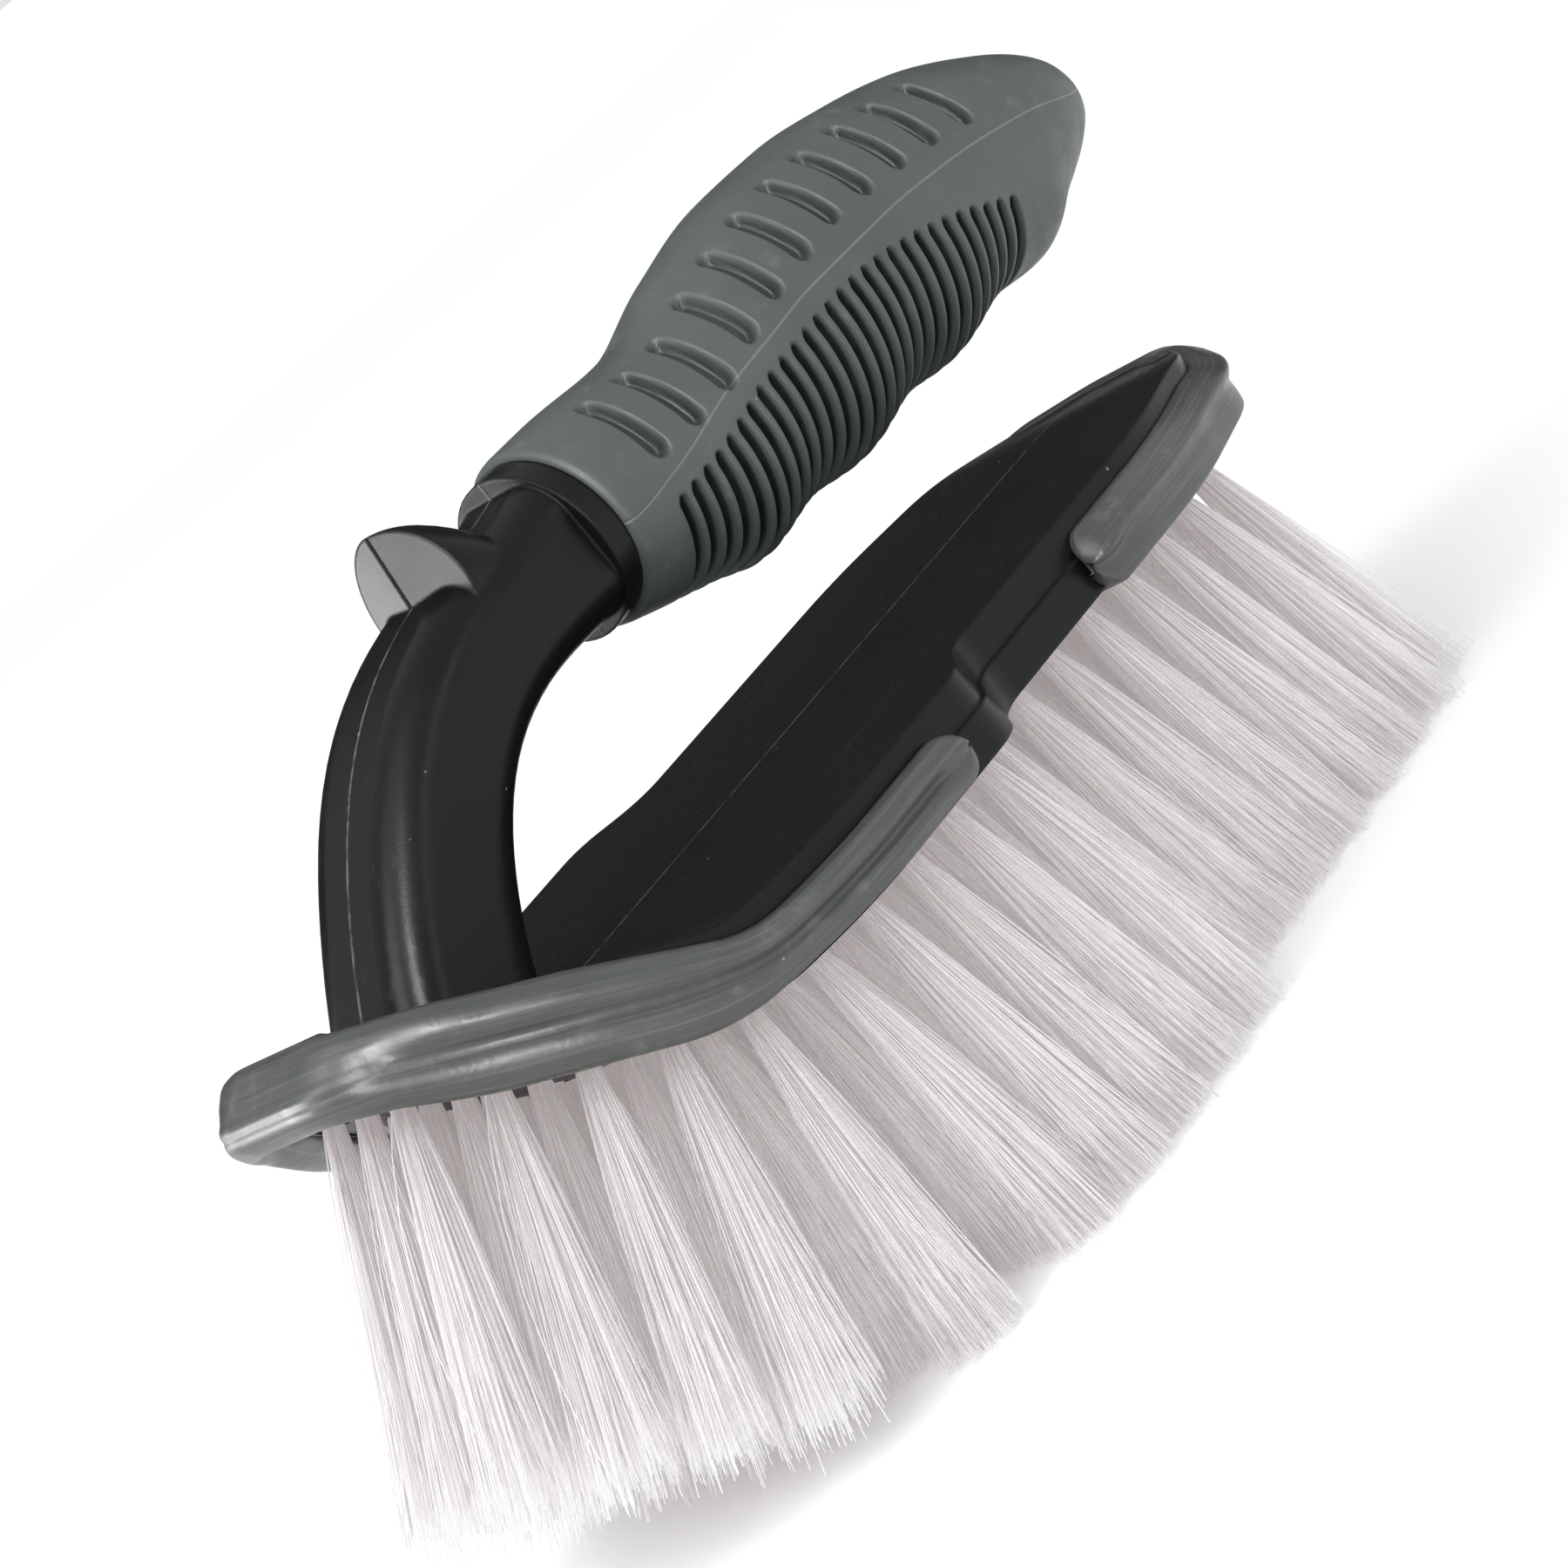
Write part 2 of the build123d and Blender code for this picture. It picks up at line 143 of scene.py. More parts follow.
def black_plastic():
    look = Look("black_plastic", (0.006, 0.006, 0.0065), 0.27, Specular_IOR_Level=0.17)
    cloud = look.noise(38, 4)
    grain = look.noise(2600, 2)
    scratches = look.noise(210, 3, look.stretched((0.05, 1.5, 1.0)), 0.7)
    mark = look.ramp(scratches, 0.63, 0.72)
    dust = look.specks(260, 0.075, 0.10)
    seam = look.ramp(look.math("ABSOLUTE", look.axis(1)), 0.00036, 0.00012)
    seam = look.math("MULTIPLY", seam, look.ramp(look.noise(420, 3), 0.38, 0.56, 0.25, 1.0))
    tone = look.mix(cloud, (0.0038, 0.0038, 0.0042), (0.0075, 0.0075, 0.008))
    tone = look.mix(look.math("MULTIPLY", mark, 0.04), tone, (0.20, 0.20, 0.20))
    tone = look.mix(look.math("MULTIPLY", seam, 0.38), tone, (0.30, 0.30, 0.29))
    look.color(look.mix(look.math("MULTIPLY", dust, 0.45), tone, (0.42, 0.41, 0.39)))
    gloss = look.ramp(cloud, 0.3, 0.7, 0.23, 0.34)
    look.roughness(look.math("ADD", gloss, look.math("MULTIPLY", mark, 0.02)))
    height = look.math("ADD", look.math("MULTIPLY", grain, 0.25), look.math("MULTIPLY", seam, 1.6))
    look.bump(height, 0.00006, 1.0, 0.0007)
    return look.material


def black_plate():
    look = Look("black_plate", (0.02, 0.02, 0.022), 0.5)
    cloud = look.noise(90, 4)
    look.color(look.mix(cloud, (0.007, 0.007, 0.0075), (0.018, 0.018, 0.019)))
    look.roughness(look.ramp(cloud, 0.3, 0.7, 0.42, 0.6))
    look.bump(look.noise(1800, 3), 0.00004, 0.7, 0.0003)
    return look.material


def rubber(name, dark, light, gloss):
    look = Look(name, dark, 0.5, Specular_IOR_Level=0.45)
    cloud = look.noise(32, 5)
    patches = look.noise(240, 4)
    tone = look.mix(look.ramp(cloud, 0.3, 0.7), dark, light)
    bloom = look.ramp(patches, 0.58, 0.75, 0.0, 0.16)
    tone = look.mix(bloom, tone, (0.24, 0.25, 0.235))
    dust = look.specks(330, 0.08, 0.05)
    tone = look.mix(look.math("MULTIPLY", dust, 0.35), tone, (0.45, 0.45, 0.42))
    look.roughness(look.ramp(patches, 0.3, 0.7, gloss - 0.05, gloss + 0.09))
    return look, tone


def bumper_rubber():
    look, tone = rubber("bumper_rubber", (0.044, 0.049, 0.042), (0.068, 0.074, 0.064), 0.32)
    place = look.tree.nodes.new("ShaderNodeCombineXYZ")
    look.join(look.math("MULTIPLY", look.attribute("around"), 40), place.inputs[0])
    look.join(look.math("MULTIPLY", look.attribute("lengthwise"), 22), place.inputs[1])
    streak = look.ramp(look.noise(1.6, 4, place.outputs[0], 0.65), 0.45, 0.75)
    look.color(look.mix(look.math("MULTIPLY", streak, 0.45), tone, (0.16, 0.17, 0.155)))
    look.bump(look.noise(900, 3), 0.00005, 0.8, 0.0006)
    return look.material


def grip_rubber():
    look, tone = rubber("grip_rubber", (0.060, 0.074, 0.069), (0.080, 0.096, 0.089), 0.46)
    seam = look.ramp(look.math("ABSOLUTE", look.attribute("seam")), 0.00026, 0.00008)
    tone = look.mix(look.math("MULTIPLY", seam, 0.38), tone, (0.26, 0.28, 0.26))
    # Inside the palm slots the rubber is painted near-black: painted shade in the recesses.
    tone = look.mix(look.math("MULTIPLY", look.attribute("slot"), 0.85), tone, (0.024, 0.029, 0.028))
    # Down the grooves the rubber is painted near-black: partly the black core at the groove floors, partly
    # painted shade on the groove walls.
    groove_core_and_shade = look.ramp(look.attribute("depth"), 0.12, 0.42)
    look.color(look.mix(groove_core_and_shade, tone, (0.008, 0.008, 0.009)))
    height = look.math("ADD", look.noise(1300, 3), look.math("MULTIPLY", seam, 2.4))
    look.bump(height, 0.00004, 0.8)
    return look.material


def bristle():
    look = Look("bristle", (0.8, 0.76, 0.76), 0.36, Subsurface_Weight=0.8, Subsurface_Scale=0.003)
    # The faint pinkish emission is painted light: it makes the bristles glow and lifts their shade.
    look.shader.inputs["Emission Color"].default_value = (1.0, 0.93, 0.935, 1)
    look.shader.inputs["Emission Strength"].default_value = 0.10
    look.shader.inputs["Subsurface Radius"].default_value = (1.0, 0.92, 0.92)
    tone = look.attribute("tone")
    along = look.attribute("along")
    # Towards their roots the filaments are painted darker: painted shade of the packed tufts near the plate.
    root = look.mix(tone, (0.72, 0.65, 0.655), (0.86, 0.80, 0.805))
    tip = look.mix(tone, (0.81, 0.775, 0.78), (0.92, 0.895, 0.895))
    look.color(look.mix(look.ramp(along, 0.0, 0.55), root, tip))
    look.roughness(look.ramp(tone, 0.0, 1.0, 0.26, 0.42))
    look.bump(look.noise(1500, 2, look.stretched((1, 1, 0.12))), 0.00002, 0.5)
    return look.material


def steel():
    look = Look("anchor_steel", (0.56, 0.56, 0.54), 0.4, Metallic=1.0)
    cloud = look.noise(700, 4)
    look.color(look.mix(cloud, (0.42, 0.42, 0.41), (0.64, 0.64, 0.62)))
    look.roughness(look.ramp(cloud, 0.3, 0.7, 0.3, 0.5))
    look.bump(cloud, 0.00002, 0.6)
    return look.material


def floor_paint():
    look = Look("pale_floor", (0.86, 0.86, 0.86), 0.7, Emission_Color=(1, 1, 1, 1), Emission_Strength=0.1)
    look.color(look.mix(look.noise(3, 3), (0.90, 0.90, 0.90), (0.92, 0.92, 0.92)))
    return look.material


# ------------------------------------------------------------------ mesh helpers
def smooth_mesh(name, vertices, faces, material, attributes=()):
    """A smooth-shaded object from points in metres, with float attributes on its points."""
    mesh = bpy.data.meshes.new(name)
    mesh.from_pydata([tuple(v) for v in vertices], [], faces)
    mesh.polygons.foreach_set("use_smooth", np.ones(len(mesh.polygons), bool))
    for label, values in attributes:
        mesh.attributes.new(label, "FLOAT", "POINT").data.foreach_set("value", np.asarray(values, np.float32))
    mesh.materials.append(material)
    mesh.update()
    piece = bpy.data.objects.new(name, mesh)
    bpy.context.scene.collection.objects.link(piece)
    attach(piece, "root")
    return piece


def grid_faces(rows, columns):
    """Quads of a grid of points, closed round its columns."""
    faces = []
    for i in range(rows - 1):
        for j in range(columns):
            k = (j + 1) % columns
            faces.append((i * columns + j, i * columns + k, (i + 1) * columns + k, (i + 1) * columns + j))
    return faces


def step(value, low, high):
    """0 at low, 1 at high, with level ends, for arrays."""
    t = np.clip((value - low) / (high - low), 0, 1)
    return t * t * (3 - 2 * t)


def curve_through(stations, x, column=1):
    """Smooth value of one column of a station list at each x, without overshoot."""
    xs = np.array([s[0] for s in stations], float)
    ys = np.array([s[column] for s in stations], float)
    slopes = np.diff(ys) / np.diff(xs)
    tangents = np.zeros(len(xs))
    tangents[0], tangents[-1] = slopes[0], slopes[-1]
    for k in range(1, len(xs) - 1):
        if slopes[k - 1] * slopes[k] > 0:
            tangents[k] = 2 * slopes[k - 1] * slopes[k] / (slopes[k - 1] + slopes[k])
    x = np.clip(x, xs[0], xs[-1])
    i = np.clip(np.searchsorted(xs, x, side="right") - 1, 0, len(xs) - 2)
    h = xs[i + 1] - xs[i]
    t = (x - xs[i]) / h
    start = (1 + 2 * t) * (1 - t) ** 2 * ys[i] + t * (1 - t) ** 2 * h * tangents[i]
    return start + t * t * (3 - 2 * t) * ys[i + 1] + t * t * (t - 1) * h * tangents[i + 1]


# ------------------------------------------------------------------ grip sleeve (mm until the end)
GRIP_AXIS_Z = 94.0
FINGER_PITCH = 24.0
FINGER_DEPTH = 0.75
# x, top and underside from the axis height, half width
GRIP_STATIONS = [
    (0.0, 13.4, -13.4, 13.4),
    (9.0, 13.2, -16.2, 13.7),
    (25.0, 12.0, -20.2, 14.8),
    (41.0, 15.4, -20.8, 16.2),
    (55.0, 17.2, -21.0, 17.0),
    (69.0, 16.7, -21.0, 17.0),
    (82.0, 14.6, -21.1, 16.4),
    (94.0, 11.6, -20.8, 15.4),
    (105.5, 6.6, -17.6, 13.0),
    (113.4, 1.8, -14.6, 9.6),
    (117.2, -2.6, -12.2, 5.4),
    (118.8, -6.0, -9.4, 1.8),
]
# x and height from the axis of the upper ends of the grooves
RIB_TOP_STATIONS = [
    (8.0, -4.8),
    (19.0, -3.9),
    (31.0, -1.9),
    (50.5, -0.8),
    (59.5, -1.8),
    (70.5, -4.4),
    (87.0, -10.5),
]
# x and height from the axis of the parting line
SEAM_STATIONS = [
    (0.0, -2.0),
    (2.0, -2.4),
    (12.5, -1.6),
    (25.5, 0.4),
    (34.5, 1.2),
    (46.0, 2.0),
    (63.5, 1.6),
    (79.5, 0.0),
    (97.5, -3.4),
    (113.5, -7.6),
    (118.8, -8.0),
]
RIB_FIRST_X = 9.0
RIB_PITCH = 2.82
RIB_COUNT = 28
RIB_GROOVE = 1.5
RIB_DEPTH = 2.4
RIB_CROWN = 0.22
SLOT_FIRST_X = 11.3
SLOT_PITCH = 7.62
SLOT_COUNT = 11
# x, middle of a slot in degrees down from the spine, half length
SLOT_STATIONS = [(12.0, 54.0, 5.3), (41.0, 47.5, 4.8), (88.0, 52.0, 4.5)]
SLOT_DEPTH = 2.3
GRIP_SIDES = 236
LIP_LENGTH = 1.4            # the sleeve's front edge is rounded over this
LIP_DROP = 1.1


def grip_columns():
    """x of the grip's rings: close together where the grooves are."""
    front = [0.0, 0.35, 0.9, 1.7, 2.8, 4.0, 5.2, 6.4, 7.4]
    middle = list(np.arange(8.0, 95.0, 0.235))
    rear = list(np.arange(95.0, 116.0, 0.9)) + [116.4, 117.0, 117.5, 118.0, 118.4, 118.65, 118.8]
    return np.array(front + middle + rear)


def palm_slot_depth(x, around, girth):
    """Depth of the round-ended slots beside the spine, a little wider below."""
    index = np.clip(np.round((x - SLOT_FIRST_X) / SLOT_PITCH), 0, SLOT_COUNT - 1)
    middle = SLOT_FIRST_X + SLOT_PITCH * index
    half = curve_through(SLOT_STATIONS, middle, 2)
    arc = (around - np.radians(curve_through(SLOT_STATIONS, middle))) * girth
    t = np.clip((arc + half) / (2 * half), 0, 1)
    distance = np.hypot(x - middle, arc - np.clip(arc, -half, half)) - (1.3 + 0.25 * t)
    # The second value marks the inside of each slot, which the grip material paints dark as painted shade.
    return SLOT_DEPTH * (0.8 + 0.2 * t) * step(distance, 0.25, -0.45), step(distance, 0.1, -0.4)


def make_grip(material):
    xs = grip_columns()
    sides = GRIP_SIDES
    angles = np.linspace(0, 2 * math.pi, sides, endpoint=False)
    x, angle = np.meshgrid(xs, angles, indexing="ij")
    wave = np.cos(2 * np.pi * (x - 23.0) / FINGER_PITCH) * step(x, 13, 23) * (1 - step(x, 97, 105))
    top = curve_through(GRIP_STATIONS, x, 1)
    bottom = curve_through(GRIP_STATIONS, x, 2) - FINGER_DEPTH * wave
    half_width = curve_through(GRIP_STATIONS, x, 3)
    half_height = (top - bottom) / 2
    lip = LIP_DROP * (1 - np.sqrt(np.clip(1 - (1 - np.clip(x / LIP_LENGTH, 0, 1)) ** 2, 0, 1)))
    half_width = half_width - lip
    half_height = half_height - lip
    sine, cosine = np.sin(angle), np.cos(angle)
    height = (top + bottom) / 2 + half_height * cosine

    around = np.minimum(angle, 2 * math.pi - angle)
    slots, slot_shade_mask = palm_slot_depth(x, around, (half_width + half_height) / 2)

    index = np.clip(np.round((x - RIB_FIRST_X) / RIB_PITCH), 0, RIB_COUNT - 1)
    across = np.abs(x - (RIB_FIRST_X + RIB_PITCH * index))
    rib_top = curve_through(RIB_TOP_STATIONS, x)
    round_end = rib_top - 0.5 * (across / (RIB_GROOVE / 2)) ** 2
    below = step(height, round_end + 0.15, round_end - 0.35)
    mask = step(across, RIB_GROOVE / 2 + 0.16, RIB_GROOVE / 2 - 0.26) * below
    ribbed = below * step(x, 8, 9) * step(x, 88, 87)
    crown = RIB_CROWN * step(across, RIB_PITCH / 2 - 0.15, RIB_GROOVE / 2) * ribbed
    sunk = slots + np.maximum(RIB_DEPTH * mask, crown)

    slope = np.stack([sine / half_width, cosine / half_height], -1)
    slope /= np.linalg.norm(slope, axis=-1, keepdims=True)
    y = half_width * sine - slope[..., 0] * sunk
    z = GRIP_AXIS_Z + height - slope[..., 1] * sunk
    points = np.stack([x, y, z], -1).reshape(-1, 3) * MM
    seam = (height - curve_through(SEAM_STATIONS, x)) * MM
    faces = grid_faces(len(xs), sides)
    faces.append(tuple(range(sides)))
    last = (len(xs) - 1) * sides
    faces.append(tuple(last + k for k in reversed(range(sides))))
    piece = smooth_mesh(
        "grip_rubber_skin",
        points,
        faces,
        material,
        [("seam", seam.ravel()), ("depth", mask.ravel()), ("slot", slot_shade_mask.ravel())],
    )
    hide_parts("grip_sleeve")
    return piece


# ------------------------------------------------------------------ rubber bumpers (mm until the end)
DECK_Z = 56.0
BASE_Z = 45.5
NOSE_ANGLE = math.radians(34)
NOSE_BEND = (-49.0, 24.0)   # x and radius
NOSE_DECK_ANGLE = math.radians(29)
DECK_BEND = (-46.0, 14.0)
TAIL_ANGLE = math.atan(0.16)
TAIL_BEND = (-78.0, 60.0)
NOSE_RIM_LOW = ((-52.0, 24.0), math.radians(32), 46.2)  # bend (x, radius), angle, level
NOSE_RIM_TOP = ((-44.0, 14.0), math.radians(34), 53.1)
NOSE_RIM_END_X = -6.5
REAR_RIM_FRONT_X = 35.0
REAR_RIM_UNDER = 1.0        # below the base
REAR_RIM_TOP = -2.4         # against the deck
TAIL_LIP = 3.0
END_ROUND = 3.4             # length over which a free end closes
NOSE_LOW_RAISE = 2.4        # the nose rubber narrows by these at its tip
NOSE_HIGH_DROP = 2.2
# x, y and radius of the corners of one side of the block, seen from above
PLANFORM_CORNERS = [
    (-83.8, 9.5, 9.0),
    (-61.0, 28.0, 60.0),
    (-32.0, 41.0, 40.0),
    (2.0, 41.0, 8.0),
    (9.5, 33.0, 10.0),
    (60.0, 32.5, 50.0),
    (82.0, 25.0, 16.0),
    (95.0, 7.0, 8.0),
]
# sections of the rims: distance out from the block, share of the height from low to high
NOSE_PROFILE = [
    (-0.9, 0.88),
    (-0.5, 0.975),
    (0.5, 1.0),
    (2.0, 0.975),
    (3.2, 0.90),
    (3.9, 0.80),
    (3.9, 0.70),
    (3.45, 0.61),
    (2.95, 0.54),
    (3.1, 0.47),
    (3.8, 0.38),
    (4.0, 0.24),
    (3.7, 0.10),
    (3.0, 0.02),
    (2.0, 0.0),
    (0.0, 0.0),
    (-2.6, 0.0),
    (-3.2, 0.03),
    (-3.1, 0.09),
    (-0.9, 0.12),
]
REAR_PROFILE = [
    (-0.9, 0.86),
    (-0.5, 0.97),
    (0.3, 1.0),
    (1.3, 0.965),
    (2.6, 0.87),
    (3.9, 0.74),
    (4.4, 0.66),
    (4.0, 0.57),
    (3.2, 0.44),
    (3.1, 0.22),
    (3.0, 0.09),
    (2.8, 0.02),
    (2.0, 0.0),
    (0.0, 0.0),
    (-2.6, 0.0),
    (-3.2, 0.03),
    (-3.1, 0.09),
    (-0.9, 0.12),
]


def bent_line(x, bend, angle, level):
    """Height of a level line that turns up by angle to the left of bend (x, radius)."""
    reach = bend[1] * math.tan(angle / 2)
    flat_end = bend[0] + reach
    rise_start = bend[0] - reach * math.cos(angle)
    arc = bend[1] - np.sqrt(np.maximum(bend[1] ** 2 - np.clip(flat_end - x, 0, None) ** 2, 0))
    slope = reach * math.sin(angle) + (rise_start - x) * math.tan(angle)
    return level + np.where(x < rise_start, slope, np.where(x < flat_end, arc, 0))


def base_height(x):
    return bent_line(x, NOSE_BEND, NOSE_ANGLE, BASE_Z)


def deck_height(x):
    drop = bent_line(-x, TAIL_BEND, TAIL_ANGLE, 0)
    return bent_line(x, DECK_BEND, NOSE_DECK_ANGLE, DECK_Z) - drop


def side_outline(spacing):
    """One side of the block's planform from nose to tail, evenly spaced."""
    corners = [(PLANFORM_CORNERS[0][0], 0.0, 0), *PLANFORM_CORNERS, (PLANFORM_CORNERS[-1][0], 0.0, 0)]
    points = [Vector(corners[0][:2])]
    for before, corner, after in zip(corners, corners[1:], corners[2:]):
        here = Vector(corner[:2])
        back = (Vector(before[:2]) - here).normalized()
        ahead = (Vector(after[:2]) - here).normalized()
        half = back.angle(ahead) / 2
        centre = here + (back + ahead).normalized() * corner[2] / math.sin(half)
        start = here + back * corner[2] / math.tan(half) - centre
        end = here + ahead * corner[2] / math.tan(half) - centre
        turn = start.angle_signed(end)
        for k in range(13):
            angle = -turn * k / 12
            spoke = Vector((start.x * math.cos(angle) - start.y * math.sin(angle),
                            start.x * math.sin(angle) + start.y * math.cos(angle)))
            points.append(centre + spoke)
    points.append(Vector(corners[-1][:2]))
    points = np.array(points)
    along = np.concatenate([[0], np.cumsum(np.linalg.norm(np.diff(points, axis=0), axis=1))])
    even = np.linspace(0, along[-1], int(along[-1] / spacing))
    return np.stack([np.interp(even, along, points[:, 0]), np.interp(even, along, points[:, 1])], -1)


def closed_curve(points, steps):
    """A smooth closed curve through points."""
    p = np.array(points, float)
    before, after, beyond = np.roll(p, 1, 0), np.roll(p, -1, 0), np.roll(p, -2, 0)
    rings = []
    for t in np.arange(steps) / steps:
        a = -0.5 * t + t * t - 0.5 * t ** 3
        b = 1 - 2.5 * t * t + 1.5 * t ** 3
        c = 0.5 * t + 2 * t * t - 1.5 * t ** 3
        d = -0.5 * t * t + 0.5 * t ** 3
        rings.append(a * before + b * p + c * after + d * beyond)
    return np.stack(rings, 1).reshape(-1, 2)


def nose_lines(x):
    """Lower and upper line of the nose rubber: thin along the side, tall round the nose."""
    return bent_line(x, *NOSE_RIM_LOW), bent_line(x, *NOSE_RIM_TOP)


def rear_lines(x):
    """Lower and upper line of the rear rubber, with a small upturned lip at the tail."""
    low = base_height(x) - REAR_RIM_UNDER
    return low, deck_height(x) + REAR_RIM_TOP + TAIL_LIP * step(x, 80.0, 90.0)


def make_bumper(node, name, profile, keep, lines, material):
    """A rubber rim swept along the part of the outline whose x satisfies keep."""
    side = side_outline(0.6)
    side = side[keep(side[:, 0])]
    mirrored = (side * (1, -1))[::-1]
    starts_in_middle = side[0, 1] < 1
    path = np.concatenate([mirrored, side] if starts_in_middle else [side, mirrored])
    steps = np.linalg.norm(np.diff(path, axis=0), axis=1)
    path = path[np.concatenate([[True], steps > 0.05])]
    along = np.concatenate([[0], np.cumsum(np.linalg.norm(np.diff(path, axis=0), axis=1))])
    tangent = np.gradient(path, axis=0)
    tangent /= np.linalg.norm(tangent, axis=1, keepdims=True)
    outward = np.stack([tangent[:, 1], -tangent[:, 0]], -1)
    if np.sum(outward[len(path) // 2] * (path[len(path) // 2] - (5, 0))) < 0:
        outward = -outward
    section = closed_curve(profile, 4)
    to_end = np.minimum(along, along[-1] - along)
    swell = np.sqrt(np.clip(1 - (1 - np.clip(to_end / END_ROUND, 0.02, 1)) ** 2, 0, 1))
    middle = (1.9, 0.5)
    x, y = path[:, 0], path[:, 1]
    tail = step(x, 80.0, 90.0)
    front = step(x, -58.0, -70.0)
    nose = step(-np.abs(y), -20.0, -6.0) * (x < -60)
    low, high = lines(x)
    low = low + NOSE_LOW_RAISE * nose
    high = high - NOSE_HIGH_DROP * nose
    wrap = np.maximum(tail, front)
    plain = np.maximum(step(-np.abs(y), -20.0, -9.0), 1 - step(to_end, 3.0, 9.0))
    rows = []
    for k in range(len(path)):
        out = middle[0] + (section[:, 0] - middle[0]) * swell[k]
        share = middle[1] + (section[:, 1] - middle[1]) * swell[k]
        inner = step(share, 0.78, 0.92) * step(out, 2.0, -0.5)
        out = out - 2.6 * wrap[k] * inner
        share = share - 0.13 * front[k] * step(out, 0.5, -1.5) * step(share, 0.7, 0.85)
        groove = np.exp(-((share - 0.53) / 0.09) ** 2) * step(out, 2.2, 2.9)
        lower = np.exp(-((share - 0.36) / 0.26) ** 2) * step(out, 1.5, 3.0)
        out = out + plain[k] * 0.9 * groove + nose[k] * (1.2 * lower - 2.6 * step(share, 0.5, 0.9))
        rows.append(np.stack([
            x[k] + outward[k, 0] * out,
            y[k] + outward[k, 1] * out,
            low[k] + (high[k] - low[k]) * share,
        ], -1))
    count = len(section)
    faces = grid_faces(len(rows), count)
    faces.append(tuple(range(count)))
    last = (len(rows) - 1) * count
    faces.append(tuple(last + j for j in reversed(range(count))))
    around = np.tile(np.arange(count) / count, len(rows))
    lengthwise = np.repeat(along * MM, count)
    marks = [("around", around), ("lengthwise", lengthwise)]
    piece = smooth_mesh(name, np.concatenate(rows) * MM, faces, material, marks)
    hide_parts(node)
    return piece


# ------------------------------------------------------------------ bristles
FILAMENTS_PER_TUFT = 200
FILAMENT_STEPS = 7
FILAMENT_SIDES = 3
FILAMENT_RADIUS = (0.085, 0.125)
ROOT_SPREAD = 1.25
TIP_SPREAD = 5.8
SIDE_LIMIT = 50.8           # centre lines stay this near the middle plane
STRAY_SHARE = 0.025
WILD_SHARE = 0.006


def tuft_axes(node):
    """Root and tip centre of every tuft solid in a CAD row, in mm."""
    mesh = bmesh.new()
    mesh.from_mesh(NODES[node].data)
    bmesh.ops.remove_doubles(mesh, verts=mesh.verts, dist=1e-6)
    mesh.verts.ensure_lookup_table()
    seen, axes = set(), []
    for start in mesh.verts:
        if start.index in seen:
            continue
        stack, group = [start], []
        seen.add(start.index)
        while stack:
            vertex = stack.pop()
            group.append(vertex.co)
            for edge in vertex.link_edges:
                other = edge.other_vert(vertex)
                if other.index not in seen:
                    seen.add(other.index)
                    stack.append(other)
        co = np.array(group) * 1000
        high, low = co[:, 2].max(), co[:, 2].min()
        root = co[co[:, 2] > high - 3].mean(0)
        tip = co[co[:, 2] < low + (high - low) * 0.4].mean(0)
        tip = root + (tip - root) * (root[2] - low) / (root[2] - tip[2])
        axes.append((root, tip))
    mesh.free()
    return sorted(axes, key=lambda pair: pair[0][1])


def disk(generator, count):
    """Points spread evenly over a unit disk, shuffled a little."""
    k = np.arange(count) + 0.5
    radius = np.sqrt(k / count)
    turn = k * math.pi * (3 - math.sqrt(5)) + generator.normal(0, 0.25, count)
    return np.stack([radius * np.cos(turn), radius * np.sin(turn)], -1)


def tuft_filaments(generator, root, tip):
    """Centre lines of one tuft's filaments, an array of count x steps x 3, in mm.

    Each filament leaves the root, aims at its own spot round the tip and ends near the tip's height.
    A few stray ones splay further, and a few wild ones bend more than the rest.
    """
    axis = (tip - root) / np.linalg.norm(tip - root)
    side = np.cross(axis, (0.0, 1.0, 0.0))
    side /= np.linalg.norm(side)
    other = np.cross(axis, side)
    count = FILAMENTS_PER_TUFT
    spots = disk(generator, count)
    start = root + (spots[:, :1] * side + spots[:, 1:] * other) * ROOT_SPREAD
    spread = TIP_SPREAD * generator.uniform(0.82, 1.06)
    aim = spots + generator.normal(0, 0.13, (count, 2))
    stray = generator.random(count) < STRAY_SHARE
    aim[stray] *= generator.uniform(1.2, 1.7, (stray.sum(), 1))
    end = tip + (aim[:, :1] * side + aim[:, 1:] * other) * spread
    level = np.clip(tip[2] + generator.normal(0.2, 1.4, count), 0.1, tip[2] + 5)
    end = start + (end - start) * ((start[:, 2] - level) / (start[:, 2] - end[:, 2]))[:, None]
    bend = generator.normal(0, 0.9, (count, 2)) + generator.normal(0, 0.5, 2)
    bend[generator.random(count) < WILD_SHARE] *= 6
    middle = (start + end) / 2 + bend[:, :1] * side + bend[:, 1:] * other
    middle -= (aim[:, :1] * side + aim[:, 1:] * other) * 0.35
    t = np.linspace(0, 1, FILAMENT_STEPS)[None, :, None]
    line = start[:, None] * (1 - t) ** 2 + middle[:, None] * 2 * t * (1 - t) + end[:, None] * t * t
    line[..., 1] = np.clip(line[..., 1], -SIDE_LIMIT, SIDE_LIMIT)
    line[..., 2] = np.maximum(line[..., 2], 0.12)
    return line


